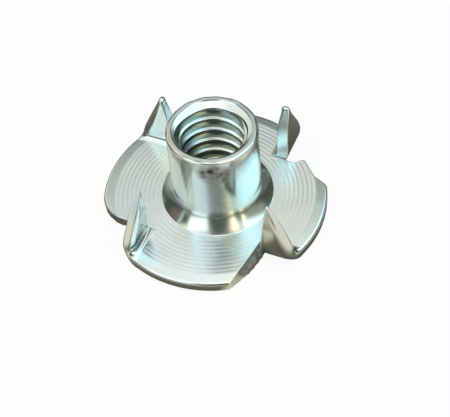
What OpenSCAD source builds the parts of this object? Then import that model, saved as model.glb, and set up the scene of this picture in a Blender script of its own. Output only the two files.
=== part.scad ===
// Four-pronged tee nut, pressed in one piece from sheet steel.
// The origin lies on the barrel's axis, on the underside of the flange.

/* [Flange] */
// Diameter of the round flange
flange_d = 19; // [17:0.1:22]
// Thickness of the sheet steel
sheet = 1.0; // [0.8:0.05:1.2]
// Rounding of the flange's rim, above and below
rim_r = 0.4; // [0.1:0.05:0.4]
// How far the flange sits off the barrel's axis, along X
flange_off = -0.28; // [-0.5:0.01:0.5]

/* [Barrel] */
// Height of the barrel's mouth above the underside
height = 8.7; // [7.6:0.1:12]
// Outside diameter of the barrel
barrel_d = 7.55; // [7:0.05:8.2]
// Rounding where the barrel rises from the flange
root_r = 1.0; // [0.6:0.05:1.4]
// Rounding of the lip's outer edge
lip_r = 0.3; // [0.1:0.05:0.4]

/* [Bore] */
// Diameter of the plain bore that carries the thread
bore_d = 5.1; // [4.6:0.05:5.6]
// Width of the shallow lead-in cone at the mouth
lead_in = 0.65; // [0.3:0.05:0.8]
// Depth of the lead-in cone
lead_h = 0.35; // [0.2:0.05:0.6]
// Rounding of the drawn entry on the underside
entry_r = 0.9; // [0.5:0.05:1.2]

/* [Prongs] */
// Height of the prong tips above the underside
prong_h = 6.5; // [5.5:0.1:7.5]
// Direction of the first prong's fold line, from X
fold_turn = 63; // [50:1:75]
// Distance from the flange's centre to a prong's outer face
fold_reach = 4.6; // [4:0.1:5.2]
// Radius inside the fold
fold_r = 1.0; // [0.6:0.05:1.2]
// Where each prong's sheared edge starts, along its fold line
shear_at = [5.4, 5.4, 5.6, 5.95];
// How far each prong's sheared edge leans towards the tip
shear_lean = [8, 8, 8, 4.6];
// How far the rim's edge of a prong leans towards the tip
rim_lean = 25; // [20:1:30]
// Width of each tip: three are blunt, one ends in a point
tip_w = [0.3, 0.3, 0.05, 0.2];
// How far each tip stands above the others
tip_up = [0, 0, 0.5, 0];
// How far each prong leans in past square
prong_lean = [2.5, 3, 9, 0.5];

/* [Notches] */
// How far each lobe's sheared wall slants away from the prong, past the slit
notch_slant = [16, 9, -4, 9];
// Width of the slit between each prong's foot and the next lobe
slit = [0.1, 0.1, 0.1, 0.45];
// Rounding of the corner where the third notch's wall meets the rim
corner_r = 3.6; // [3.4:0.1:3.8]
// Radius of the tooth of torn metal on the first notch's wall
burr_r = 0.7; // [0.4:0.05:0.9]
// Where the tooth sits, out from the prong's outer face
burr_at = 1.3; // [1:0.1:2]

/* [Hidden] */
$fn = 96;
zinc = "#c9d3d3";
flange_r = flange_d / 2;
barrel_r = barrel_d / 2;
bore_r = bore_d / 2;
prongs = len(prong_lean);
// Outreach and cutting depth that clear the whole part
clear = flange_d;
over = 0.5;
// The fold's own axis: its distance from the flange's centre, and its height
fold_x = fold_reach - sheet - fold_r;
fold_z = sheet + fold_r;
// Length of a prong's flat root that lies in the flange
root = 0.1;
// How far inside the flange's rim the prongs' feet end
inset = 0.02;
// How far the corner's rounding stays inside the rim, and how far it rises over its wall
corner_in = 0.1;
corner_up = 0.05;

// Places its children in the frame of one prong: X out through the prong, Y along its fold
module at_prong(i) {
    translate([flange_off, 0, 0])
        rotate([0, 0, fold_turn - 90 + i * 360 / prongs])
            children();
}

// Section of the flange with its rounded rim
module flange_section() {
    flat = flange_r - rim_r;
    square([flat, sheet]);
    translate([0, rim_r]) square([flange_r, sheet - 2 * rim_r]);
    for (z = [rim_r, sheet - rim_r])
        translate([flat, z]) circle(rim_r);
}

// Section of the barrel, with its rounded root and lip
module barrel_section() {
    square([barrel_r - lip_r, height]);
    square([barrel_r, height - lip_r]);
    translate([barrel_r - lip_r, height - lip_r]) circle(lip_r);
    difference() {
        square([barrel_r + root_r, sheet + root_r]);
        translate([barrel_r + root_r, sheet + root_r]) circle(root_r);
    }
}

// Section of the hole: the drawn entry, the bore and the lead-in cone
module hole_section() {
    translate([0, -over]) square([bore_r, height + 2 * over]);
    difference() {
        translate([0, -over]) square([bore_r + entry_r, entry_r + over]);
        translate([bore_r + entry_r, entry_r]) circle(entry_r);
        translate([bore_r + entry_r, -over]) square([clear, over]);
    }
    polygon([
        [0, height - lead_h],
        [bore_r, height - lead_h],
        [bore_r + lead_in * (1 + over / lead_h), height + over],
        [0, height + over]
    ]);
}

// The opening that a prong leaves in the flange: a slit beside the prong's foot,
// then the sheared wall of the next lobe
module notch(i) {
    wall = shear_at[i] - slit[i];
    difference() {
        translate([0, 0, -over]) linear_extrude(sheet + 2 * over)
            polygon([
                [fold_x, wall],
                [fold_reach, wall],
                [clear, wall - (clear - fold_reach) * tan(notch_slant[i])],
                [clear, clear],
                [fold_x, clear]
            ]);
        if (i == 0)
            translate([fold_reach + burr_at, wall - burr_at * tan(notch_slant[i]), -clear])
                cylinder(r = burr_r, h = 2 * clear);
    }
    if (i == 2) lobe_corner(wall);
}

// What is cut away round the rounded corner of a lobe
module lobe_corner(wall) {
    x = flange_r - corner_r - corner_in;
    y = wall - (x - fold_reach) * tan(notch_slant[2]) + corner_up - corner_r;
    translate([x, y, -over])
        difference() {
            cube([clear, clear, sheet + 2 * over]);
            translate([0, 0, -over]) cylinder(r = corner_r, h = clear);
        }
}

// Section through a fold, with the fold's axis at the origin: the flat root, the bend,
// and the blade that leans in
module bent_section(lean) {
    outer_r = fold_r + sheet;
    lean_in = prong_h * tan(lean);
    translate([-root, -outer_r]) square([root, sheet]);
    intersection() {
        difference() {
            circle(outer_r);
            circle(fold_r);
        }
        translate([0, -outer_r]) square(outer_r);
    }
    polygon([
        [fold_r, 0],
        [outer_r, 0],
        [outer_r - lean_in, prong_h],
        [fold_r - lean_in, prong_h]
    ]);
}

// Side view of a prong: the sheared edge stands on the slit, and both edges lean in to the tip
module prong_side(i) {
    tip_z = prong_h + tip_up[i];
    tip_y = shear_at[i] + (tip_z - fold_z) * tan(shear_lean[i]);
    rim_y = tip_y + tip_w[i] + (tip_z + over) * tan(rim_lean);
    polygon([
        [shear_at[i], -over],
        [shear_at[i], fold_z],
        [tip_y, tip_z],
        [tip_y + tip_w[i], tip_z],
        [rim_y, -over]
    ]);
}

// One prong: the bent sheet, cut by its two edges, with its foot on the flange's rim
module prong(i) {
    intersection() {
        translate([fold_x, clear, fold_z]) rotate([90, 0, 0]) linear_extrude(clear)
            bent_section(prong_lean[i]);
        rotate([90, 0, 90]) linear_extrude(clear) prong_side(i);
        translate([0, 0, -over]) cylinder(r = flange_r - inset, h = clear);
    }
}

module tee_nut() {
    color(zinc)
        difference() {
            union() {
                difference() {
                    translate([flange_off, 0, 0]) rotate_extrude() flange_section();
                    for (i = [0:prongs - 1]) at_prong(i) notch(i);
                }
                for (i = [0:prongs - 1]) at_prong(i) prong(i);
                rotate_extrude() barrel_section();
            }
            rotate_extrude() hole_section();
        }
}

tee_nut();
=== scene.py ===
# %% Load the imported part
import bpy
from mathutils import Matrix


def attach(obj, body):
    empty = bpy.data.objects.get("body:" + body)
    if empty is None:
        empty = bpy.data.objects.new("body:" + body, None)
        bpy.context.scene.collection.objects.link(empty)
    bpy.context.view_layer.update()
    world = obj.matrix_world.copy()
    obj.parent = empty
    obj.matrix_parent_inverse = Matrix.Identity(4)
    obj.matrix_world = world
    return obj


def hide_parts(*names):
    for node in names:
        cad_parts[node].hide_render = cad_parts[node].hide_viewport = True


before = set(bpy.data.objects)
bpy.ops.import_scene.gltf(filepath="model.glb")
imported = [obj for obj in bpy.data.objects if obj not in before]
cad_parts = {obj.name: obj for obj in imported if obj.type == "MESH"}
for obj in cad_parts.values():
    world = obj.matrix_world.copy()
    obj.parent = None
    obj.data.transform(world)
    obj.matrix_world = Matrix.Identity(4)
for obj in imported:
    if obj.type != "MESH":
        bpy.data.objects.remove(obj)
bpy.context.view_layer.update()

# %% [markdown]
# # A tee nut, pressed from one disc of steel
# A tee nut is hammered into a hole in wood, so that a screw can be done up from the other side.
# It starts as a flat disc. A press draws the barrel up from its middle, a tap cuts the thread,
# and four corners of the disc are sheared free and folded up as prongs.
# This script models that sheet in the same way: flat first, then folded.

# %% Tools and units
import math
import bpy
import bmesh
import numpy as np
from mathutils import Matrix, Vector, noise

MM = 0.001


def smooth_step(low, high, value):
    """0 at low, 1 at high, and an S-shaped rise between them."""
    share = min(max((value - low) / (high - low), 0.0), 1.0)
    return share * share * (3 - 2 * share)


# %% [markdown]
# ## The camera
# The photograph looks down on the nut from the front, with the picture turned a few degrees.
# A camera can be aimed with a constraint, but its roll is then awkward. Here its three axes are
# worked out and written to its matrix, so the view is the photograph's own with no shift.

# %% Place the camera
PICTURE_W = 450
VIEW_DISTANCE = 80.0
VIEW_ELEVATION = math.radians(51.88)
VIEW_ROLL = math.radians(-5.19)
PIXELS_PER_MM = 11.612
AIM_RIGHT = 0.568
AIM_DOWN = 0.930
SENSOR_W = 36.0

back = Vector((0, -math.cos(VIEW_ELEVATION), math.sin(VIEW_ELEVATION)))
level = Vector((1, 0, 0))
above = back.cross(level)
side = math.cos(VIEW_ROLL) * level + math.sin(VIEW_ROLL) * above
top = math.cos(VIEW_ROLL) * above - math.sin(VIEW_ROLL) * level
eye = VIEW_DISTANCE * back + AIM_RIGHT * side - AIM_DOWN * top

camera_data = bpy.data.cameras.new("camera")
camera_data.sensor_width = SENSOR_W
camera_data.lens = PIXELS_PER_MM * VIEW_DISTANCE * SENSOR_W / PICTURE_W
camera_data.clip_start = MM
camera = bpy.data.objects.new("camera", camera_data)
bpy.context.scene.collection.objects.link(camera)
axes = Matrix((side, top, back)).transposed().to_4x4()
camera.matrix_world = Matrix.Translation(eye * MM) @ axes
bpy.context.scene.camera = camera
print("camera", [round(v, 4) for v in camera.location], "lens", round(camera_data.lens, 1))

# %% [markdown]
# ## The sizes
# These are real sizes in millimetres. The origin is on the barrel's axis, on the underside of the flange.
# They follow the solid part, apart from a few that the photograph's reflections moved by tenths,
# such as the tighter folds. A list has one value for each prong, anticlockwise from the back right.
# What only one step needs is named in that step.

# %% Driving sizes in millimetres
FLANGE_R = 9.56
FLANGE_X = -0.24
SHEET = 1.0
HALF = SHEET / 2
BARREL_R = 3.775
ROOT_R = 1.0
HEIGHT = 8.7
BORE_R = 2.55
PRONGS = 4
TIP_Z = [6.5, 6.3, 7.0, 6.5]
SHEAR_Y = [5.4, 5.4, 5.6, 5.95]
PRONG_LEAN = [math.radians(a) for a in (2.5, 3.0, 9.0, 0.5)]
print("flange", 2 * FLANGE_R, "mm across, barrel", HEIGHT, "mm high")

# %% [markdown]
# ## From the flat sheet to the folded one
# Every point of the sheet has a place across the fold, a place along it and a height above
# the middle of the sheet. Up to the fold line the sheet is flat; past it, it runs round the bend
# and then straight up the prong. A bend modifier could fold a plate, but not to an exact radius.
# One function does it here, so faces and edges always meet.

# %% The fold
FOLD_X = 3.0
FOLD_R = 0.6
FOLD_TURN = math.radians(-27)
BEND_R = FOLD_R + HALF


def to_part(quarter, x, y, z):
    """A point of one prong's own frame, turned to its place round the flange's centre."""
    angle = FOLD_TURN + quarter * 2 * math.pi / PRONGS
    return Vector((FLANGE_X + x * math.cos(angle) - y * math.sin(angle),
                   x * math.sin(angle) + y * math.cos(angle), z))


def bend_length(quarter):
    """How far the middle of the sheet runs round the bend."""
    return BEND_R * (math.pi / 2 + PRONG_LEAN[quarter])


def fold_place(quarter, across, height):
    """Distance out and height of a point of the sheet that lies past the fold line."""
    turned = min(max(across / BEND_R, 0), math.pi / 2 + PRONG_LEAN[quarter])
    straight = across - turned * BEND_R
    x = FOLD_X + (BEND_R - height) * math.sin(turned) + straight * math.cos(turned)
    z = HALF + BEND_R - (BEND_R - height) * math.cos(turned) + straight * math.sin(turned)
    return x, z


def folded(quarter, across, along, height):
    """A point of the flat sheet, in its place on the folded prong."""
    x, z = fold_place(quarter, across, height)
    return to_part(quarter, x, along, z)


def prong_length(quarter):
    """How far the sheet runs from the fold line to a prong's tip."""
    lean = PRONG_LEAN[quarter]
    bend_top = HALF + BEND_R * (1 + math.sin(lean))
    return bend_length(quarter) + (TIP_Z[quarter] - bend_top) / math.cos(lean)


print("prongs run", [round(prong_length(q), 2) for q in range(PRONGS)], "mm past their folds")

# %% [markdown]
# ## The outline
# Between two prongs the disc keeps a lobe: a stretch of the round rim, a corner, and the wall
# where the next prong was sheared away. Each wall is a few corner points, and a corner with
# a radius is turned on an arc. A curve object could do that too, but here the points are needed
# one by one, to hang the rest of the sheet on them.

# %% Corners turned on arcs
ARC_STEP = math.radians(15)
SHARP_REACH = 0.01


def rounded(corners):
    """A path through (x, y, radius) corners, with each radius drawn as an arc."""
    path = [Vector(corners[0][:2])]
    for before, corner, after in zip(corners, corners[1:], corners[2:]):
        at, radius = Vector(corner[:2]), corner[2]
        inward = (Vector(before[:2]) - at).normalized()
        outward = (Vector(after[:2]) - at).normalized()
        bend = math.pi - inward.angle(outward)
        reach = radius * math.tan(bend / 2)
        if reach < SHARP_REACH:
            path.append(at)
            continue
        steps = max(2, math.ceil(bend / ARC_STEP))
        centre = at + (inward + outward).normalized() * radius / math.cos(bend / 2)
        start, end = at + inward * reach - centre, at + outward * reach - centre
        path += [centre + start.slerp(end, n / steps) * radius for n in range(steps + 1)]
    return path + [Vector(corners[-1][:2])]


def spaced(path, step):
    """The same path with points at even steps."""
    lengths = np.cumsum([0] + [(b - a).length for a, b in zip(path, path[1:])])
    marks = np.linspace(0, lengths[-1], round(lengths[-1] / step) + 1)
    return [Vector((np.interp(m, lengths, [p.x for p in path]),
                    np.interp(m, lengths, [p.y for p in path]))) for m in marks]


# %% [markdown]
# The four walls differ, as a worn press leaves them. The first kept a torn tooth, the third ends in
# a well rounded corner, and the fourth stands off its prong, so that its slit is open.
# A corner below is (out from the flange's centre, along the fold, radius), from the rim to the slit.

# %% The four sheared walls
WALLS = [
    [(8.62, 4.02, 0.25), (7.35, 4.5, 0.6), (5.92, 5.98, 0.32),
     (5.2, 5.33, 0.12), (4.7, 5.31, 0.2), (4.3, 5.36, 0.2)],
    [(8.3, 4.62, 0.25), (4.6, 5.3, 0.3), (3.7, 5.3, 0.3)],
    [(7.6, 5.6, 3.0), (4.6, 5.4, 0.3), (3.7, 5.45, 0.3)],
    [(8.17, 4.85, 0.3), (4.6, 5.46, 0.4), (3.6, 5.6, 0.3)],
]
RIM_STEP = 0.2
WALL_STEP = 0.13
# Roundings of the edge: on the rolled rim, on a sheared wall and in a slit
RIM_ROUND = 0.25
SHEAR_ROUND = 0.07
SLIT_ROUND = 0.012
SLIT_GAP = 0.02
# How far out the sharp edge of each slit has turned into a sheared one, and the length that it takes
SLIT_WIDE_X = [4.6, 3.9, 3.9, 3.9]
SLIT_RUN = 0.6
# Where the rim stops before a corner, and how long its rolled edge takes to fade after it:
# a length, and a share of the corner's radius that is added to it
RIM_STOP = (0.05, 0.64)
ROLL_FADE = (0.4, 0.7)
FOLD_END = math.sqrt(FLANGE_R ** 2 - FOLD_X ** 2)


def lobe_outline(quarter):
    """Rim, corner and wall from the last fold's end to this prong's slit, with edge roundings."""
    corner_x, corner_y, corner_r = WALLS[quarter][0]
    rim_stop, roll_fade = (length + share * corner_r for length, share in (RIM_STOP, ROLL_FADE))
    first = math.atan2(-FOLD_X, FOLD_END)
    last = math.atan2(corner_y, corner_x) - rim_stop / FLANGE_R
    steps = round((last - first) * FLANGE_R / RIM_STEP)
    rim = [FLANGE_R * Vector((math.cos(a), math.sin(a))) for a in np.linspace(first, last, steps + 1)]
    slit_end = (FOLD_X, SHEAR_Y[quarter] - SLIT_GAP, 0)
    wall = spaced(rounded([(*rim[-1], 0), *WALLS[quarter], slit_end]), WALL_STEP)[1:]
    roundings = [RIM_ROUND] * len(rim)
    for point in wall:
        cut = smooth_step(0, roll_fade, (point - rim[-1]).length)
        slit = 1 - smooth_step(SLIT_WIDE_X[quarter] - SLIT_RUN, SLIT_WIDE_X[quarter], point.x)
        roundings.append(RIM_ROUND + (SHEAR_ROUND - RIM_ROUND) * cut + (SLIT_ROUND - SHEAR_ROUND) * slit)
    return rim + wall, roundings


outlines = [lobe_outline(q) for q in range(PRONGS)]
print("outline points", [len(path) for path, _ in outlines])

# %% [markdown]
# ## One mesh for the whole nut
# The real nut is one piece with no seams, so the model is one closed mesh. Joining pieces with
# booleans would leave creases where they meet. Here rows of numbered points are skinned together.
# A row that runs out at an edge repeats the edge's number, and the skin drops the sides that vanish.

# %% The mesh in the making
points, faces, kinds = [], [], []
# Kinds of face: the last is the thread's grooves, whose plate is darkened as painted shade
PLATE, TURNED, TORN, GROOVE_SHADE = 0, 1, 2, 3


def add_point(place):
    """Keeps a point and gives its number."""
    points.append(tuple(place))
    return len(points) - 1


def skin(left, right, kind):
    """Faces between two rows of point numbers of the same length."""
    for corners in zip(left, left[1:], right[1:], right):
        ring = [c for n, c in enumerate(corners) if c != corners[n - 1]]
        if len(set(ring)) > 2:
            faces.append(ring)
            kinds.append(kind)


def skin_round(rows, kind):
    """Faces between each row and the next, all the way round."""
    for left, right in zip(rows, rows[1:] + rows[:1]):
        skin(left, right, kind)


# %% [markdown]
# ## Columns round the flange
# A column is a line from the barrel's foot out to the edge of the sheet. On the lobes it
# ends at the rim or a wall, set in by the edge's rounding. On a fold line it goes on up the prong.
# The broken lower part of some walls slopes outwards, so a column ends further out on the underside.

# %% Where each column ends
FOLD_COLUMNS = 28
RIM_LOW = 0.15
# An edge starts to be torn where it has less than this share of the rim's rounding
ROLLED_SHARE = 0.8
# How far each wall slopes out, and how far out it starts to and has done so
WALL_DRAFT = [0.2, 0.2, 0, 0.55]
DRAFT_NONE_X = 8.6
DRAFT_FULL_X = 5.4
# Where a fold line meets the rim, on top and on the underside
fold_ends = [math.sqrt((FLANGE_R - inset) ** 2 - FOLD_X ** 2) for inset in (RIM_ROUND, RIM_LOW)]
columns = []
for quarter in range(PRONGS):
    path, roundings = outlines[quarter]
    for n in range(1, len(path)):
        ahead = path[min(n + 1, len(path) - 1)] - path[n - 1]
        out = Vector((ahead.y, -ahead.x)).normalized()
        torn = smooth_step(ROLLED_SHARE * RIM_ROUND, SHEAR_ROUND, roundings[n])
        draft = WALL_DRAFT[quarter] * torn * smooth_step(DRAFT_NONE_X, DRAFT_FULL_X, path[n].x)
        low_rounding = min(roundings[n], RIM_LOW)
        columns.append({"quarter": quarter, "fold": False, "out": out, "torn": torn,
                        "rounding": roundings[n], "low_rounding": low_rounding,
                        "end": path[n] - roundings[n] * out,
                        "low_end": path[n] + (draft - low_rounding) * out})
    fold_start = SHEAR_Y[quarter] + SLIT_ROUND
    for n in range(FOLD_COLUMNS + 1):
        along, low_along = (fold_start + (end - fold_start) * n / FOLD_COLUMNS for end in fold_ends)
        columns.append({"quarter": quarter, "fold": True, "end": Vector((FOLD_X, along)),
                        "low_end": Vector((FOLD_X, low_along))})

for column in columns:
    place = to_part(column["quarter"], column["end"].x, column["end"].y, 0)
    arm = Vector((place.x - FLANGE_X, place.y))
    column["far"] = arm.length
    column["ray"] = arm.normalized()
turns = np.unwrap([math.atan2(column["ray"].y, column["ray"].x) for column in columns])
print(len(columns), "columns; smallest turn between two", round(math.degrees(np.diff(turns).min()), 3))

# %% [markdown]
# ## The barrel
# The barrel was drawn up through a die. Its root is nearly a straight cone with a slight sag, its wall
# tapers a little and its lip is rounded. A screw modifier could turn such a section,
# but the barrel has to share its foot's points with the flange, so each column carries the section itself.

# %% Section of the barrel, from its root to its lip
ROOT_SHARES = (0, 0.02, 0.06, 0.12, 0.2, 0.3, 0.4, 0.5, 0.6, 0.7, 0.8, 0.88, 0.94, 0.98, 1)
ROOT_SAG = 0.04
WALL_ROWS = 8
LIP_TAPER = 0.08
LIP_R = 0.2
LIP_STEPS = 7
section = []
for share in ROOT_SHARES:
    sag = 4 * ROOT_SAG * share * (1 - share)
    section.append((BARREL_R + ROOT_R * (1 - share) - sag, SHEET + ROOT_R * share - sag))
wall_low, wall_high = SHEET + ROOT_R, HEIGHT - LIP_R
for n in range(1, WALL_ROWS):
    share = n / WALL_ROWS
    section.append((BARREL_R - LIP_TAPER * share, wall_low + (wall_high - wall_low) * share))
lip_ring = BARREL_R - LIP_TAPER - LIP_R
for n in range(LIP_STEPS + 1):
    a = n / LIP_STEPS * math.pi / 2
    section.append((lip_ring + LIP_R * math.cos(a), wall_high + LIP_R * math.sin(a)))
print("section rows", len(section))

# %% [markdown]
# The mouth was faced flat and countersunk a little off the middle. A flat ring ends in a small step,
# and a cone leads in to the thread: a wide one on the far side, where the light falls,
# and a short one at the front and left, where the thread's grooves come out higher.

# %% The mouth of the bore
MOUTH_R = 3.25
MOUTH_H = 0.25
MOUTH_STEP = 0.08
MOUTH_BEVEL = 0.02
CREST_CLEAR = 0.03
RING_SHARES = (0.15, 0.5, 0.8, 0.93)
CONE_SHARES = (0, 0.1, 0.4, 0.7, 0.9)
# How far the cone's edge comes in at the front, and how fast that fades towards the sides
NEAR_RING = 0.12
NEAR_POWER = 1.5
# How far the cone's foot opens, between which directions (1 is the far side), and how much less at the right
MOUTH_OPEN = 0.4
OPEN_BAND = (-0.1, 0.9)
OPEN_LESS = 0.3


def mouth(turn):
    """The flat ring, the step and the lead-in cone, for one direction from the barrel's axis."""
    outer = MOUTH_R - NEAR_RING * max(0, -turn.y) ** NEAR_POWER
    opened = MOUTH_OPEN * (1 - smooth_step(*OPEN_BAND, turn.y)) * (1 - OPEN_LESS * max(0, turn.x))
    inner = BORE_R + CREST_CLEAR + opened
    edge_z = HEIGHT - MOUTH_BEVEL
    cone_z = edge_z - MOUTH_STEP
    deep = MOUTH_H * (outer - inner) / (MOUTH_R - BORE_R)
    ring = [(lip_ring + (outer - lip_ring) * share, HEIGHT) for share in RING_SHARES]
    cone = [(outer - MOUTH_BEVEL + (inner - outer) * share, cone_z - deep * share) for share in CONE_SHARES]
    return ring + [(outer, edge_z)] + cone + [(inner, cone_z - deep)]


# %% Turn the section, with a lip that handling has worn
LIP_WEAR = 0.07
WEAR_PER_MM = 1.1
lip_first = len(section) - LIP_STEPS - 1
foot_r = BARREL_R + ROOT_R
for column in columns:
    ray = column["ray"]
    column["near"] = math.sqrt(foot_r ** 2 - (FLANGE_X * ray.y) ** 2) - FLANGE_X * ray.x
    column["turn"] = (Vector((FLANGE_X, 0)) + column["near"] * ray).normalized()
    rows = section + mouth(column["turn"])
    column["mouth_r"], column["mouth_z"] = rows[-1]
    column["barrel"] = []
    for n, (r, z) in enumerate(rows):
        spot = Vector((column["turn"].x * r, column["turn"].y * r, z))
        on_lip = min(max((n - lip_first) / LIP_STEPS, 0), 1)
        worn = LIP_WEAR * noise.noise(spot * WEAR_PER_MM) * math.sin(math.pi * on_lip)
        column["barrel"].append(add_point(spot * (1 + worn / spot.length)))
skin_round([column["barrel"] for column in columns], PLATE)
print("barrel points", len(points))

# %% [markdown]
# ## The rings on the flange
# The die's turned face left fine rings on the top of the flange, and its rim rolled down a little.
# A bump map could fake the rings, but then they vanish from the mesh. They are drawn as real relief,
# with rows of points on every crest, flank and hollow, because a metal's reflections show them.

# %% Relief of the flange's top
RING_PITCH = 0.38
RING_DEPTH = 0.013
RING_SHARPNESS = 3
RING_FIRST = 4.95
RING_LAST = 8.6
RING_FADE = 0.2
# Distances from an edge between which the rings come up
RING_CLEAR = (0.05, 0.4)
# How much of the rings is left by wear, how much that varies, and how often
RING_KEPT = 0.75
RING_VARIES = 0.5
RING_VARIES_PER_MM = 0.4
# The rolled rim: how wide, how steep, and how long its crease is on either side
ROLL_W = 0.95
ROLL_SLOPE = 0.1
ROLL_CREASE = 0.12


def roll_over(inside):
    """How far the top has rolled down at a distance inside the rim."""
    past = ROLL_W - inside
    if past < -ROLL_CREASE:
        return 0.0
    return ROLL_SLOPE * (past if past > ROLL_CREASE else (past + ROLL_CREASE) ** 2 / (4 * ROLL_CREASE))


def top_height(radius, column):
    """Height of the flange's top: rings that fade at both ends and near an edge, and the rolled rim."""
    wave = -abs(math.cos(math.pi * radius / RING_PITCH)) ** RING_SHARPNESS
    started = smooth_step(RING_FIRST - RING_FADE, RING_FIRST + RING_FADE, radius)
    ended = smooth_step(RING_LAST - 2 * RING_FADE, RING_LAST, radius)
    clear = smooth_step(*RING_CLEAR, column["far"] - radius)
    spot = Vector((column["ray"].x * radius, column["ray"].y * radius, 0))
    kept = RING_KEPT + RING_VARIES * noise.noise(spot * RING_VARIES_PER_MM)
    return SHEET + RING_DEPTH * wave * started * (1 - ended) * clear * kept - roll_over(FLANGE_R - radius)


def low_height(radius, column):
    """The underside is flat."""
    return 0.0


# %% [markdown]
# The underside isn't seen in the photograph. A drawn barrel always leaves a rounded entry there, so
# the flat underside ends at that entry's edge, and a few rows are enough for it.

# %% Top and underside of the flange
ROWS_PER_RING = 4
TOP_FIRST = 4.5
TOP_ROWS = np.arange(TOP_FIRST, FLANGE_R, RING_PITCH / ROWS_PER_RING).tolist()
LOW_ROWS = [3.9, 4.6, 5.4, 6.2, 7.0, 7.8, 8.6, 9.0]
EDGE_GAP = 0.04
ENTRY_R = 0.9
entry_edge = BORE_R + ENTRY_R


def flange_rows(column, rows, start, near, end, height):
    """Point numbers along one column, repeated where a row lies outside the sheet."""
    numbers = [start]
    for radius in rows:
        if radius < near + EDGE_GAP:
            numbers.append(start)
        elif radius > column["far"] - EDGE_GAP:
            break
        else:
            spot = radius * column["ray"]
            numbers.append(add_point((FLANGE_X + spot.x, spot.y, height(radius, column))))
    last = add_point(to_part(column["quarter"], end.x, end.y, height(column["far"], column)))
    return numbers + [last] * (len(rows) + 2 - len(numbers))


for column in columns:
    foot = column["barrel"][0]
    column["top"] = flange_rows(column, TOP_ROWS, foot, column["near"], column["end"], top_height)
    entry = add_point((column["turn"].x * entry_edge, column["turn"].y * entry_edge, 0))
    low_near = entry_edge - FLANGE_X * column["ray"].x
    column["low"] = flange_rows(column, LOW_ROWS, entry, low_near, column["low_end"], low_height)
skin_round([column["top"] for column in columns], TURNED)
skin_round([column["low"] for column in columns], PLATE)
print("points with the flange", len(points))

# %% [markdown]
# ## The prongs
# A prong is the corner of the disc, sheared along one side and folded up. Its other side is still
# the disc's rolled rim, which narrows to a blunt, thinned tip. It could be a plate of its own, but
# it carries on from the columns of its fold line instead, so the bend is smooth on both faces.

# %% The two sides of a prong in the flat
SHEAR_LEAN = [math.tan(math.radians(a)) for a in (8, 8, 8, 4.6)]
RIM_LEAN = math.tan(math.radians(25))
TIP_W = [0.3, 0.3, 0.05, 0.2]
RIM_BULGE = [0.5, 0, 0, 0]
# How much of the bend the prong's foot takes up, and how softly its rim turns into the slanting side
FOOT_SHARE = 0.6
BLEND = 0.12


def prong_sides(quarter, across):
    """Sheared side and rim side of a prong at a distance past the fold line."""
    x, z = fold_place(quarter, across, 0)
    fold_top, tip_z = HALF + BEND_R, TIP_Z[quarter]
    sheared = SHEAR_Y[quarter] + max(0, z - fold_top) * SHEAR_LEAN[quarter]
    tip_y = SHEAR_Y[quarter] + (tip_z - fold_top) * SHEAR_LEAN[quarter]
    bulge = RIM_BULGE[quarter] * smooth_step(0, FOOT_SHARE * bend_length(quarter), across)
    slanted = tip_y + TIP_W[quarter] + (tip_z - z) * RIM_LEAN + bulge * smooth_step(tip_z, fold_top, z)
    on_disc = math.sqrt((FLANGE_R + bulge) ** 2 - x ** 2)
    overlap = max(0, BLEND * min(1, across) - abs(slanted - on_disc))
    return sheared, min(slanted, on_disc) - overlap ** 2 / (4 * BLEND)


print("tips", [round(rim - cut, 2) for cut, rim in (prong_sides(q, prong_length(q)) for q in range(PRONGS))],
      "mm wide before they are rounded")

# %% Thickness and roundings of a prong
TIP_ROUND = [0.24, 0.26, 0.06, 0.16]
TIP_THIN = [0.7, 0.75, 0.35, 0.5]
TIP_SHIFT = [-0.22, 0, 0, 0]
# Where up the blade each change towards the tip starts
THIN_FROM = 0.4
SHIFT_FROM = 0.5
SHEAR_TIP_FROM = 0.5
RIM_TIP_FROM = 0.2
# Where in the bend the slit's sharp edge turns into a sheared one, and where the rim's roll-over ends
SLIT_BAND = (0.3, 0.8)
ROLL_END = 0.7
# The rolled rim up the prong, as (out, height) on the inner and the outer face
PRONG_RIM = [(0.8, 0.48), (0.85, 0.5)]
# The most of its half of the sheet that a rounding takes
ROUND_MOST = 0.98


def up_blade(quarter, share, across):
    """0 up to a share of the blade's length, then rising to 1 at its tip."""
    bend, whole = bend_length(quarter), prong_length(quarter)
    return smooth_step(bend + share * (whole - bend), whole, across)


def prong_half(quarter, across):
    """Half the sheet's thickness: the blade thins towards its tip."""
    return HALF * (1 + (TIP_THIN[quarter] - 1) * up_blade(quarter, THIN_FROM, across))


def prong_middle(quarter, across):
    """Height of the middle of the sheet: a blade can thin on one face only."""
    return TIP_SHIFT[quarter] * up_blade(quarter, SHIFT_FROM, across)


def sheared_rounding(quarter, across):
    """Rounding of the sheared edge: none in the slit, most at the tip."""
    r = SLIT_ROUND + (SHEAR_ROUND - SLIT_ROUND) * smooth_step(*SLIT_BAND, across / bend_length(quarter))
    return r + (TIP_ROUND[quarter] - SHEAR_ROUND) * up_blade(quarter, SHEAR_TIP_FROM, across)


def rim_rounding(quarter, across, face):
    """Rounding of the rolled rim as (out, height) on the inner or the outer face."""
    foot = smooth_step(0, FOOT_SHARE * bend_length(quarter), across)
    tip = up_blade(quarter, RIM_TIP_FROM, across)
    on_flange = (RIM_ROUND, RIM_LOW)[face]
    sizes = []
    for rolled in PRONG_RIM[face]:
        r = on_flange + (rolled - on_flange) * foot
        sizes.append(r + (TIP_ROUND[quarter] - r) * tip)
    return sizes[0], min(sizes[1], ROUND_MOST * prong_half(quarter, across))


def prong_roll(quarter, across, inside):
    """The rim's roll-over fades out up the bend."""
    return roll_over(inside) * (1 - smooth_step(0, ROLL_END * bend_length(quarter), across))


# %% Both faces of every prong
INNER, OUTER = 0, 1
BEND_ROWS = 18
BLADE_ROWS = 30
FLAT_MIN = 0.02


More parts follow.
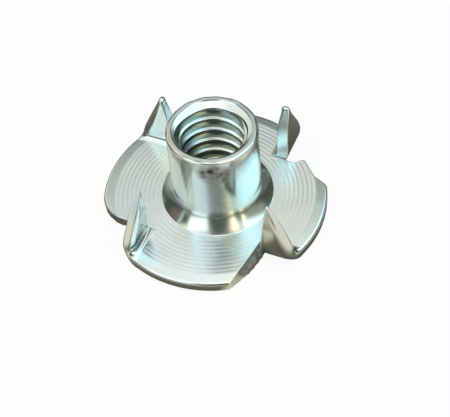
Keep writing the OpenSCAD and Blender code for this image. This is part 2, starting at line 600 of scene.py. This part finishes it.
def face_row(quarter, across, face, count):
    """Where one row across a prong's inner or outer face lies in the flat, between its roundings."""
    sheared, rim = prong_sides(quarter, across)
    low = sheared + sheared_rounding(quarter, across)
    high = rim - rim_rounding(quarter, across, face)[0]
    middle, wide = (low + high) / 2, max(high - low, FLAT_MIN)
    return [Vector((across, y)) for y in np.linspace(middle - wide / 2, middle + wide / 2, count).tolist()]


prongs = []
for quarter in range(PRONGS):
    stem = [column for column in columns if column["fold"] and column["quarter"] == quarter]
    bend, whole = bend_length(quarter), prong_length(quarter) - TIP_ROUND[quarter]
    distances = [bend * n / BEND_ROWS for n in range(BEND_ROWS)]
    distances += [bend + (whole - bend) * n / BLADE_ROWS for n in range(BLADE_ROWS + 1)]
    flats = [[[Vector((0, column[end].y)) for column in stem]] for end in ("end", "low_end")]
    sheets = [[[column[face][-1] for column in stem]] for face in ("top", "low")]
    for across in distances[1:]:
        rim = prong_sides(quarter, across)[1]
        half, middle = prong_half(quarter, across), prong_middle(quarter, across)
        for face in (INNER, OUTER):
            row = face_row(quarter, across, face, len(stem))
            flats[face].append(row)
            heights = [middle - half] * len(row)
            if face == INNER:
                heights = [middle + half - prong_roll(quarter, across, rim - p.y) for p in row]
            sheets[face].append([add_point(folded(quarter, p.x, p.y, h)) for p, h in zip(row, heights)])
    for sheet in sheets:
        for low, high in zip(sheet, sheet[1:]):
            skin(low, high, PLATE)
    prongs.append({"distances": distances, "flats": flats, "sheets": sheets})
print("points with the prongs", len(points))

# %% [markdown]
# ## The edge of the sheet
# One edge runs all the way round: along a rim, down a sheared wall, up a prong's sheared
# side, over its tip and back down its rim. The rim was rolled smooth in the blanking. The sheared
# walls are sharper, and broken below the cut, so they get a rough relief. A bevel modifier knows one
# width only; here each place has its own rounding, and the rows stay in step with the faces.

# %% Over the edge, from the top face to the underside
EDGE_STEPS = 6
EDGE_SHARES = (0.2, 0.4, 0.6, 0.8)


def edge_points(top_base, low_base, out, top_round, low_round, top_half, low_half):
    """Places over the edge: where in the flat, and height. Roundings are (out, height)."""
    angles = [math.pi / 2 * n / EDGE_STEPS for n in range(1, EDGE_STEPS + 1)]
    top_arc = [(top_base + top_round[0] * math.sin(a) * out, top_half - top_round[1] * (1 - math.cos(a)))
               for a in angles]
    low_arc = [(low_base + low_round[0] * math.sin(a) * out, low_round[1] * (1 - math.cos(a)) - low_half)
               for a in angles]
    (upper, upper_z), (lower, lower_z) = top_arc[-1], low_arc[-1]
    middle = [(upper.lerp(lower, share), upper_z + (lower_z - upper_z) * share) for share in EDGE_SHARES]
    return top_arc + middle + low_arc[::-1]


# %% The edge of the flat sheet, with its torn walls
# Depth and size of the torn lumps, and the share of that depth by which the whole wall lies back
TEAR_DEPTH = 0.09
TEAR_SIZE = 0.3
TEAR_BACK = 0.3
# A second, finer grain: how many times finer, and its share
TEAR_FINER = 2.3
TEAR_FINE_SHARE = 0.5
# Share of the sheet's thickness, from the top, over which the clean cut turns into torn metal
TEAR_BAND = (0.05, 0.4)


def flat_edge(column):
    """The edge of the flat sheet at one column, from the top face to the underside."""
    numbers = [column["top"][-1]]
    top_round = (column["rounding"], column["rounding"])
    low_round = (column["low_rounding"], column["low_rounding"])
    top_half = HALF - roll_over(FLANGE_R - column["far"])
    for place, height in edge_points(column["end"], column["low_end"], column["out"], top_round, low_round,
                                     top_half, HALF):
        spot = to_part(column["quarter"], place.x, place.y, HALF + height)
        rough = noise.noise(spot / TEAR_SIZE)
        rough += TEAR_FINE_SHARE * noise.noise(spot * TEAR_FINER / TEAR_SIZE)
        broken = column["torn"] * smooth_step(*TEAR_BAND, 0.5 - height / SHEET)
        place += TEAR_DEPTH * broken * (rough - TEAR_BACK) * column["out"]
        numbers.append(add_point(to_part(column["quarter"], place.x, place.y, HALF + height)))
    return numbers + [column["low"][-1]]


# %% Walk round the edge
TIP_ROUND_MOST = 0.95
SLOPE_STEP = 0.01


def edge_angles(quarter, across):
    """The way out of the sheet on a prong's sheared side and on its rim."""
    cut, rim = prong_sides(quarter, across)
    next_cut, next_rim = prong_sides(quarter, across + SLOPE_STEP)
    return math.atan2(-SLOPE_STEP, next_cut - cut), math.atan2(SLOPE_STEP, rim - next_rim)


def prong_edge(quarter, row, place, angle, inner_round, outer_round):
    """The edge of a prong at one place of one of its rows, from the inner face to the outer one."""
    prong = prongs[quarter]
    out = Vector((math.cos(angle), math.sin(angle)))
    across = prong["distances"][row]
    half, middle = prong_half(quarter, across), prong_middle(quarter, across)
    inner_base, outer_base = (prong["flats"][face][row][place] for face in (INNER, OUTER))
    rolled = prong_roll(quarter, across, inner_round[0]) if place < 0 else 0
    numbers = [prong["sheets"][INNER][row][place]]
    for spot, height in edge_points(inner_base, outer_base, out, inner_round, outer_round,
                                    half - rolled, half):
        numbers.append(add_point(folded(quarter, spot.x, spot.y, middle + height)))
    return numbers + [prong["sheets"][OUTER][row][place]]


lines = []
for quarter in range(PRONGS):
    lobe = [column for column in columns if column["quarter"] == quarter and not column["fold"]]
    lines += [(flat_edge(column), TORN if column["torn"] > 0.5 else PLATE) for column in lobe]
    distances = prongs[quarter]["distances"]
    angles = [edge_angles(quarter, across) for across in distances]
    tip_row = len(distances) - 1
    for n in range(tip_row):
        cut_round = [sheared_rounding(quarter, distances[n])] * 2
        lines.append((prong_edge(quarter, n, 0, angles[n][0], cut_round, cut_round), TURNED))
    tip_round = (TIP_ROUND[quarter], TIP_ROUND_MOST * prong_half(quarter, distances[-1]))
    cut_angle, rim_angle = angles[-1]
    for n in range(FOLD_COLUMNS + 1):
        angle = cut_angle + (rim_angle - cut_angle) * n / FOLD_COLUMNS
        lines.append((prong_edge(quarter, tip_row, n, angle, tip_round, tip_round), PLATE))
    for n in reversed(range(tip_row)):
        rim_rounds = [rim_rounding(quarter, distances[n], face) for face in (INNER, OUTER)]
        lines.append((prong_edge(quarter, n, -1, angles[n][1], *rim_rounds), PLATE))
for (left, left_kind), (right, right_kind) in zip(lines, lines[1:] + lines[:1]):
    skin(left, right, min(left_kind, right_kind))
print("edge lines", len(lines))

# %% [markdown]
# ## The thread
# The bore is tapped with a quarter-inch coarse thread: right-handed, with a turn every 1.27 mm.
# A screw modifier could wind a section, but then the ends need cutting. Here the rows of
# points climb with the turn, so each crest is one clean line, and both ends close on the mouth and the
# entry. The crests are polished by the tap and shine; the grooves between them get a darker plate as painted
# shade.

# %% Section of one turn
PITCH = 1.27
GROOVE = 0.625
GROOVE_ROUND = 0.02
# Share of the turn and depth behind the crest's radius, up from the crest's lower edge
TURN_SECTION = [(0.0, 0.03), (0.04, 0), (0.17, 0), (0.21, 0.03), (0.24, 0.12), (0.27, 0.21), (0.4, 0.41),
                (0.54, GROOVE - GROOVE_ROUND), (0.6, GROOVE), (0.66, GROOVE - GROOVE_ROUND), (0.84, 0.32)]
ROWS_PER_TURN = len(TURN_SECTION)
CREST_ROWS = range(5)
# Depths below the mouth between which the thread comes to its full form
RUN_OUT = (0.05, 0.35)


def bore_radius(depth, z, column):
    """The thread, which runs out under the mouth, opened by the drawn entry below."""
    shown = smooth_step(*RUN_OUT, column["mouth_z"] - z)
    radius = column["mouth_r"] + (BORE_R + depth - column["mouth_r"]) * shown
    if z >= ENTRY_R:
        return radius
    return max(radius, entry_edge - math.sqrt(max(0, ENTRY_R ** 2 - (ENTRY_R - z) ** 2)))


def skin_thread(left, right):
    """Faces between two columns of the bore: plate on the crests, a darker plate in the grooves as painted
    shade.
    """
    for n in range(len(left) - 1):
        skin(left[n:n + 2], right[n:n + 2], PLATE if n % ROWS_PER_TURN in CREST_ROWS else GROOVE_SHADE)


# %% Wind the thread
TURNS = range(-6, 5)
# Height of one crest on the far wall, where it is seen, and where in the section that height is
CREST_BACK = 5.76
CREST_PHASE = 0.125
FAR_TURN = 0.25
END_GAP = 0.03
base = CREST_BACK - PITCH * (FAR_TURN + CREST_PHASE)
bore_turns = np.unwrap([math.atan2(column["turn"].y, column["turn"].x) for column in columns])
for column, turned in zip(columns, bore_turns):
    column["bore"] = []
    for phase, depth in ((n + share, depth) for n in TURNS for share, depth in TURN_SECTION):
        z = base + PITCH * (phase + turned / (2 * math.pi))
        if z > column["mouth_z"] - END_GAP:
            column["bore"].append(column["barrel"][-1])
        elif z < END_GAP:
            column["bore"].append(column["low"][0])
        else:
            r = bore_radius(depth, z, column)
            column["bore"].append(add_point((column["turn"].x * r, column["turn"].y * r, z)))
for left, right in zip(columns, columns[1:]):
    skin_thread(left["bore"], right["bore"])
# The last column meets the first one a whole turn higher
skin_thread(columns[-1]["bore"][:-ROWS_PER_TURN], columns[0]["bore"][ROWS_PER_TURN:])
print("thread rows", len(columns[0]["bore"]))

# %% [markdown]
# ## Closing the mesh
# Points and faces become one object. Every edge of a sound solid has two faces, so the open edges
# are counted. The faces are turned to look outwards and shaded smooth, because the rows already lie
# close together wherever the sheet bends.

# %% Close the mesh
mesh = bpy.data.meshes.new("tee_nut_plated")
mesh.from_pydata([tuple(v * MM for v in p) for p in points], [], faces)
mesh.polygons.foreach_set("material_index", kinds)
work = bmesh.new()
work.from_mesh(mesh)
loose = [v for v in work.verts if not v.link_faces]
bmesh.ops.delete(work, geom=loose, context="VERTS")
bmesh.ops.recalc_face_normals(work, faces=work.faces)
open_edges = sum(1 for edge in work.edges if len(edge.link_faces) != 2)
work.to_mesh(mesh)
work.free()
mesh.polygons.foreach_set("use_smooth", [True] * len(mesh.polygons))
mesh.update()
nut = bpy.data.objects.new("tee_nut_plated", mesh)
bpy.context.scene.collection.objects.link(nut)
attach(nut, "root")
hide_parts("tee_nut")
triangles = sum(len(face.vertices) - 2 for face in mesh.polygons)
print("triangles", triangles, "open edges", open_edges)

# %% [markdown]
# ## The finishes
# Every material is a small tree of nodes. One function adds a node, sets it and joins it up,
# and one turns the hex colours that a person reads into the linear light that the renderer wants.

# %% Helpers for materials


def linear(code):
    """An sRGB hex colour as linear light."""
    channels = [int(code[n:n + 2], 16) / 255 for n in (1, 3, 5)]
    return [c / 12.92 if c <= 0.04045 else ((c + 0.055) / 1.055) ** 2.4 for c in channels] + [1]


def add_node(tree, kind, values=None, links=None, stops=(), **settings):
    """One node with its settings, its socket values, its links and its ramp's (place, colour) stops."""
    made = tree.nodes.new(kind)
    for name, value in settings.items():
        setattr(made, name, value)
    for name, value in (values or {}).items():
        made.inputs[name].default_value = value
    for name, source in (links or {}).items():
        tree.links.new(source, made.inputs[name])
    for place, _ in stops[1:-1]:
        made.color_ramp.elements.new(place)
    for n, (place, code) in enumerate(stops):
        made.color_ramp.elements[n].position = place
        made.color_ramp.elements[n].color = linear(code)
    return made


def new_material(name):
    """An empty material and its tree of nodes."""
    material = bpy.data.materials.new(name)
    material.use_nodes = True
    material.node_tree.nodes.clear()
    return material, material.node_tree


def per_mm(size_mm):
    """A noise scale whose features are about this many millimetres across."""
    return 1 / (size_mm * MM)


# The sockets of a Mix node that mixes colours: these names repeat in it, so it is joined up by number
MIX_SHARE, MIX_UNDER, MIX_OVER, MIXED = 0, 6, 7, 2

# %% [markdown]
# A scuff: on the front of the barrel, under the lip, the plate is rubbed dull and brown. A painted
# mask could place it, but that needs an image. Here a fine noise shows only near one point.

# %% The scuffed place on the barrel
SCUFF_AT = (-0.1, -3.75, 7.4)
SCUFF_FLAT = 1.25
SCUFF_NONE_MM = 1.75
SCUFF_FULL_MM = 0.8
SCUFF_MM = 0.9
SCUFF_BAND = (0.32, 0.62)


def scuff_share(tree, place):
    """How much of the scuff a point shows, from 0 to 1."""
    apart = add_node(tree, "ShaderNodeVectorMath", {1: [v * MM for v in SCUFF_AT]}, {0: place},
                     operation="SUBTRACT")
    apart = add_node(tree, "ShaderNodeMapping", {"Scale": (1, 1, SCUFF_FLAT)}, {"Vector": apart.outputs[0]})
    off = add_node(tree, "ShaderNodeVectorMath", links={0: apart.outputs["Vector"]}, operation="LENGTH")
    near = add_node(tree, "ShaderNodeMapRange",
                    {"From Min": SCUFF_NONE_MM * MM, "From Max": SCUFF_FULL_MM * MM},
                    {"Value": off.outputs["Value"]}, interpolation_type="SMOOTHSTEP")
    rubs = add_node(tree, "ShaderNodeTexNoise", {"Scale": per_mm(SCUFF_MM), "Detail": 7, "Roughness": 0.68},
                    {"Vector": place})
    rubbed = add_node(tree, "ShaderNodeMapRange", {"From Min": SCUFF_BAND[0], "From Max": SCUFF_BAND[1]},
                      {"Value": rubs.outputs["Fac"]})
    return add_node(tree, "ShaderNodeMath", links={0: near.outputs["Result"], 1: rubbed.outputs["Result"]},
                    operation="MULTIPLY").outputs[0]


# %% [markdown]
# Bright zinc plate: a few thousandths of a millimetre of zinc on pressed steel, with a clear
# blue-white passivation. The eye sees a cool mirror, a little cloudy, with faint cream
# where the film is thicker. Fine draw marks run up the barrel.
# The flat faces under the die came out satin, with no draw marks, and in the thread's grooves
# the same plate is darkened as painted shade. So one function makes all three.

# %% Zinc plate: bright, satin and darkened as painted shade in the thread's grooves
FILM_MM = 5.0
FILM_BAND = (0.45, 0.68)
CLOUD_MM = 1.6
CLOUD_BAND = (0.3, 0.7)
# The real draw marks are finer than this: they are as coarse as they need to be to show
DRAW_MM = 0.16
DRAW_LONG = 0.05
DRAW_HEIGHT_MM = 0.02
SCUFF_BROWN = "#473f36"
SCUFF_ROUGH = 0.25


def zinc_plate(name, cool, warm, rough_low, rough_high, drawn):
    """Plated steel between two tints and two roughnesses, with draw marks of some strength."""
    material, tree = new_material(name)
    place = add_node(tree, "ShaderNodeTexCoord").outputs["Object"]
    worn = scuff_share(tree, place)
    film = add_node(tree, "ShaderNodeTexNoise", {"Scale": per_mm(FILM_MM), "Detail": 2}, {"Vector": place})
    tint = add_node(tree, "ShaderNodeValToRGB", links={"Fac": film.outputs["Fac"]},
                    stops=list(zip(FILM_BAND, (cool, warm))))
    colour = add_node(tree, "ShaderNodeMix", {MIX_OVER: linear(SCUFF_BROWN)},
                      {MIX_SHARE: worn, MIX_UNDER: tint.outputs["Color"]}, data_type="RGBA")
    cloud = add_node(tree, "ShaderNodeTexNoise", {"Scale": per_mm(CLOUD_MM), "Detail": 4}, {"Vector": place})
    rough = add_node(tree, "ShaderNodeMapRange",
                     {"From Min": CLOUD_BAND[0], "From Max": CLOUD_BAND[1], "To Min": rough_low,
                      "To Max": rough_high}, {"Value": cloud.outputs["Fac"]})
    rough = add_node(tree, "ShaderNodeMath", {1: SCUFF_ROUGH}, {0: worn, 2: rough.outputs["Result"]},
                     operation="MULTIPLY_ADD")
    stretch = add_node(tree, "ShaderNodeMapping", {"Scale": (1, 1, DRAW_LONG)}, {"Vector": place})
    marks = add_node(tree, "ShaderNodeTexNoise", {"Scale": per_mm(DRAW_MM), "Detail": 3},
                     {"Vector": stretch.outputs["Vector"]})
    bump = add_node(tree, "ShaderNodeBump", {"Strength": drawn, "Distance": DRAW_HEIGHT_MM * MM},
                    {"Height": marks.outputs["Fac"]})
    shader = add_node(tree, "ShaderNodeBsdfPrincipled", {"Metallic": 1},
                      {"Base Color": colour.outputs[MIXED], "Roughness": rough.outputs[0],
                       "Normal": bump.outputs["Normal"]})
    add_node(tree, "ShaderNodeOutputMaterial", links={"Surface": shader.outputs["BSDF"]})
    return material


plate = zinc_plate("bright_zinc_plate", "#d6dedd", "#e0dccb", 0.14, 0.22, 0.06)
turned_plate = zinc_plate("satin_zinc_plate", "#dce4e3", "#e2e5de", 0.2, 0.29, 0)
# The plate in the thread's grooves is darker: painted shade where the grooves hide from the light
groove_shade_plate = zinc_plate("zinc_plate_with_painted_groove_shade", "#7b8a80", "#97977f", 0.2, 0.3, 0)
print("plates", [finish.name for finish in (plate, turned_plate, groove_shade_plate)])

# %% [markdown]
# Torn steel with a thin zinc wash: the press cut the top of these walls and broke the rest. The eye
# sees a dull grey, rough at a tenth of a millimetre, with brighter facets.

# %% Torn edge
TORN_GREY = "#e6e9e4"
TORN_DARK = "#a9aca5"
TORN_BAND = (0.35, 0.65)
GRAIN_MM = 0.12
GRAIN_HEIGHT_MM = 0.05
torn_edge, tree = new_material("torn_steel_thin_zinc")
place = add_node(tree, "ShaderNodeTexCoord").outputs["Object"]
grain = add_node(tree, "ShaderNodeTexNoise", {"Scale": per_mm(GRAIN_MM), "Detail": 5}, {"Vector": place})
tint = add_node(tree, "ShaderNodeValToRGB", links={"Fac": grain.outputs["Fac"]},
                stops=list(zip(TORN_BAND, (TORN_DARK, TORN_GREY))))
bump = add_node(tree, "ShaderNodeBump", {"Strength": 0.4, "Distance": GRAIN_HEIGHT_MM * MM},
                {"Height": grain.outputs["Fac"]})
shader = add_node(tree, "ShaderNodeBsdfPrincipled", {"Metallic": 1, "Roughness": 0.36},
                  {"Base Color": tint.outputs["Color"], "Normal": bump.outputs["Normal"]})
add_node(tree, "ShaderNodeOutputMaterial", links={"Surface": shader.outputs["BSDF"]})
for finish in (plate, turned_plate, torn_edge, groove_shade_plate):
    nut.data.materials.append(finish)
print("finishes", [finish.name for finish in nut.data.materials])

# %% [markdown]
# ## The studio
# Metal shows what stands round it, so most of this nut's look is the room. The nut lies on a white
# floor, which catches its soft shadow. To the camera and in reflections the floor is almost plain
# white light, so that it needs no extra lamp to come out white.

# %% Floor
FLOOR_SIZE = 3.0
FLOOR_DROP = 0.02
FLOOR_WHITE = "#f4f4f4"
FLOOR_GLOW = 0.9
floor_mesh = bpy.data.meshes.new("floor")
edge = FLOOR_SIZE / 2
floor_mesh.from_pydata([(-edge, -edge, 0), (edge, -edge, 0), (edge, edge, 0), (-edge, edge, 0)],
                       [], [(0, 1, 2, 3)])
floor = bpy.data.objects.new("floor", floor_mesh)
floor.location.z = -FLOOR_DROP * MM
bpy.context.scene.collection.objects.link(floor)
material, tree = new_material("white_floor")
ray = add_node(tree, "ShaderNodeLightPath").outputs
seen = ray["Is Camera Ray"]
for other in ("Is Glossy Ray", "Is Transmission Ray"):
    seen = add_node(tree, "ShaderNodeMath", links={0: seen, 1: ray[other]}, operation="MAXIMUM").outputs[0]
share = add_node(tree, "ShaderNodeMath", {1: FLOOR_GLOW}, {0: seen}, operation="MULTIPLY").outputs[0]
matt = add_node(tree, "ShaderNodeBsdfDiffuse", {"Color": linear(FLOOR_WHITE)}).outputs[0]
glow = add_node(tree, "ShaderNodeEmission", {"Color": (1, 1, 1, 1), "Strength": 1.0}).outputs[0]
mixed = add_node(tree, "ShaderNodeMixShader", links={0: share, 1: matt, 2: glow})
add_node(tree, "ShaderNodeOutputMaterial", links={"Surface": mixed.outputs[0]})
floor_mesh.materials.append(material)
print("floor", FLOOR_SIZE, "m wide")

# %% [markdown]
# The room is the world's background: dim walls near the floor, paler ones above, white overhead.
# A photograph of a room would do, but a ramp over the height of the look has tones that can be named
# and changed one by one. 0 is the horizon and 1 is straight up.

# %% Sky
SKY = [(0.0, "#39403b"), (0.4, "#4a524d"), (0.61, "#666f6a"), (0.69, "#abb1ad"), (0.76, "#cbd1cd"),
       (0.82, "#ffffff"), (0.88, "#f6f9f7"), (0.93, "#e0e5e3"), (1.0, "#ffffff")]
world = bpy.data.worlds.new("studio_round_the_nut")
bpy.context.scene.world = world
world.use_nodes = True
tree = world.node_tree
tree.nodes.clear()
look = add_node(tree, "ShaderNodeTexCoord").outputs["Generated"]
ways = add_node(tree, "ShaderNodeSeparateXYZ", links={"Vector": look}).outputs
sky = add_node(tree, "ShaderNodeValToRGB", links={"Fac": ways["Z"]}, stops=SKY).outputs["Color"]
front = add_node(tree, "ShaderNodeMath", {1: -1}, {0: ways["Y"]}, operation="MULTIPLY").outputs[0]
azimuth = add_node(tree, "ShaderNodeMath", links={0: ways["X"], 1: front}, operation="ARCTAN2").outputs[0]
elevation = add_node(tree, "ShaderNodeMath", links={0: ways["Z"]}, operation="ARCSINE").outputs[0]
print("sky of", len(SKY), "tones")

# %% [markdown]
# Windows, lamps and walls give the plate its bright and dark bands. Area lamps would show in metal as
# hard panes, so each is a soft patch of sky instead. A later patch lies over the ones before it.
# Sideways, 0 degrees is the front and 90 the right; upward, 0 is the horizon.

# %% Windows, lamps and walls
SKY_LIGHT = 1.25
# Colour, light, (middle, half width) sideways and upward in degrees, and softness of the edge
PATCHES = [
    # The ceiling
    ("#fbfbf7", 1.3, (0, 190), (88, 16), 6),
    # The cream wall at the left, a strip lamp on it and a window beside it
    ("#f2f4ea", 1.0, (-105, 40), (56, 16), 6),
    ("#cdeeff", 2.3, (-76, 7), (54, 20), 4),
    ("#eefcfb", 1.5, (-47, 21), (31, 14), 6),
    # The dark front of the room, with a warm lamp at its right
    ("#4c5550", 1.0, (-3, 21), (25, 32), 5),
    ("#56635f", 1.0, (45, 30), (46, 16), 6),
    ("#fff5da", 1.8, (36, 16), (36, 15), 5),
    # Low furniture at the right and the left
    ("#8f9997", 1.0, (76, 20), (22, 9), 6),
    ("#7d665c", 1.0, (-88, 14), (20, 8), 5),
    # The pale wall behind, with two greyer stretches
    ("#e6ebe7", 1.0, (-140, 18), (30, 16), 6),
    ("#848d89", 1.0, (158, 8), (46, 13), 5),
    ("#a4ada8", 1.0, (-158, 6), (48, 12), 5),
    # The large window at the right
    ("#caeeff", 1.75, (97, 44), (58, 25), 5),
]


def patch(under, code, strength, sideways, upward, soft):
    """Lays one colour of light over part of the sky."""
    masks = []
    for angle, (middle, half) in ((azimuth, sideways), (elevation, upward)):
        off = add_node(tree, "ShaderNodeMath", {1: math.radians(middle)}, {0: angle}, operation="SUBTRACT")
        off = add_node(tree, "ShaderNodeMath", {1: math.pi, 2: -math.pi}, {0: off.outputs[0]},
                       operation="WRAP")
        off = add_node(tree, "ShaderNodeMath", links={0: off.outputs[0]}, operation="ABSOLUTE")
        none, full = math.radians(half + soft), math.radians(half - soft)
        mask = add_node(tree, "ShaderNodeMapRange", {"From Min": none, "From Max": full},
                        {"Value": off.outputs[0]}, interpolation_type="SMOOTHSTEP")
        masks.append(mask.outputs["Result"])
    shown = add_node(tree, "ShaderNodeMath", links={0: masks[0], 1: masks[1]}, operation="MULTIPLY")
    light = [channel * strength for channel in linear(code)[:3]] + [1]
    return add_node(tree, "ShaderNodeMix", {MIX_OVER: light}, {MIX_SHARE: shown.outputs[0], MIX_UNDER: under},
                    data_type="RGBA").outputs[MIXED]


around = sky
for values in PATCHES:
    around = patch(around, *values)
light = add_node(tree, "ShaderNodeBackground", {"Strength": SKY_LIGHT}, {"Color": around})
add_node(tree, "ShaderNodeOutputWorld", links={"Surface": light.outputs["Background"]})
print("patches of sky", len(PATCHES))

# %% [markdown]
# Low down, the plate shows the table that it stood on: cream, and dark close to the nut, where its own
# shadow lies. A real cream table would colour the whole picture. So this one is a thin disc of light
# just over the floor, which neither the camera nor the shadows see: only reflections do.

# %% The table that only reflections see
TABLE_R = 250
TABLE_SIDES = 48
# It lies halfway between the floor and the nut's underside
TABLE_RISE = 0.5
table_mesh = bpy.data.meshes.new("cream_table")
angles = [2 * math.pi * n / TABLE_SIDES for n in range(TABLE_SIDES)]
table_mesh.from_pydata([(TABLE_R * MM * math.cos(a), TABLE_R * MM * math.sin(a), 0) for a in angles],
                       [], [tuple(range(TABLE_SIDES))])
table = bpy.data.objects.new("cream_table", table_mesh)
table.location.z = -TABLE_RISE * FLOOR_DROP * MM
table.visible_camera = False
table.visible_diffuse = False
table.visible_shadow = False
bpy.context.scene.collection.objects.link(table)
print("table", 2 * TABLE_R, "mm across")

# %% Tones of the table
# Distance from the barrel's axis in millimetres, and colour
TABLE = [(7.6, "#3f3e37"), (8.6, "#6e6d62"), (9.6, "#5b584e"), (10.6, "#8e8a79"), (12.0, "#d5d3c5"),
         (14.0, "#f2f3ec")]
# The shaded back of the table: colour, share, and how far behind the axis it is full
BEHIND = "#5c5950"
BEHIND_SHARE = 0.9
BEHIND_MM = 6
# Round spots: middle, radius where it starts, radius where it is full, and colour.
# The first is light that falls through a notch, the second the shade of the dark front of the room.
SPOTS = [((0.8, -9.0, 0), 1.7, 0.8, "#dcdccb"), ((-1, -25, 0), 11, 7, "#453f35")]
material, tree = new_material("cream_table")
place = add_node(tree, "ShaderNodeTexCoord").outputs["Object"]
length = add_node(tree, "ShaderNodeVectorMath", links={0: place}, operation="LENGTH").outputs["Value"]
table_end = TABLE[-1][0]
reach = add_node(tree, "ShaderNodeMapRange", {"From Max": table_end * MM}, {"Value": length})
tones = add_node(tree, "ShaderNodeValToRGB", links={"Fac": reach.outputs["Result"]},
                 stops=[(distance / table_end, code) for distance, code in TABLE]).outputs["Color"]
depth = add_node(tree, "ShaderNodeSeparateXYZ", links={"Vector": place}).outputs["Y"]
behind = add_node(tree, "ShaderNodeMapRange",
                  {"From Min": 0, "From Max": BEHIND_MM * MM, "To Max": BEHIND_SHARE},
                  {"Value": depth}, interpolation_type="SMOOTHSTEP")
layers = [(behind.outputs["Result"], BEHIND)]
for middle, starts, full, code in SPOTS:
    off = add_node(tree, "ShaderNodeVectorMath", {1: [v * MM for v in middle]}, {0: place},
                   operation="DISTANCE")
    spot = add_node(tree, "ShaderNodeMapRange", {"From Min": starts * MM, "From Max": full * MM},
                    {"Value": off.outputs["Value"]}, interpolation_type="SMOOTHSTEP")
    layers.append((spot.outputs["Result"], code))
for shown, code in layers:
    tones = add_node(tree, "ShaderNodeMix", {MIX_OVER: linear(code)}, {MIX_SHARE: shown, MIX_UNDER: tones},
                     data_type="RGBA").outputs[MIXED]
shine = add_node(tree, "ShaderNodeEmission", {"Strength": 1.0}, {"Color": tones})
add_node(tree, "ShaderNodeOutputMaterial", links={"Surface": shine.outputs[0]})
table_mesh.materials.append(material)
print("table of", len(TABLE), "tones and", len(layers), "layers")

# %% [markdown]
# ## The picture
# The Standard view shows a colour about as it was written, which a part for a library needs; a filmic
# view would grey the white floor.

# %% Set the view
bpy.context.scene.view_settings.view_transform = "Standard"
print("view", bpy.context.scene.view_settings.view_transform)
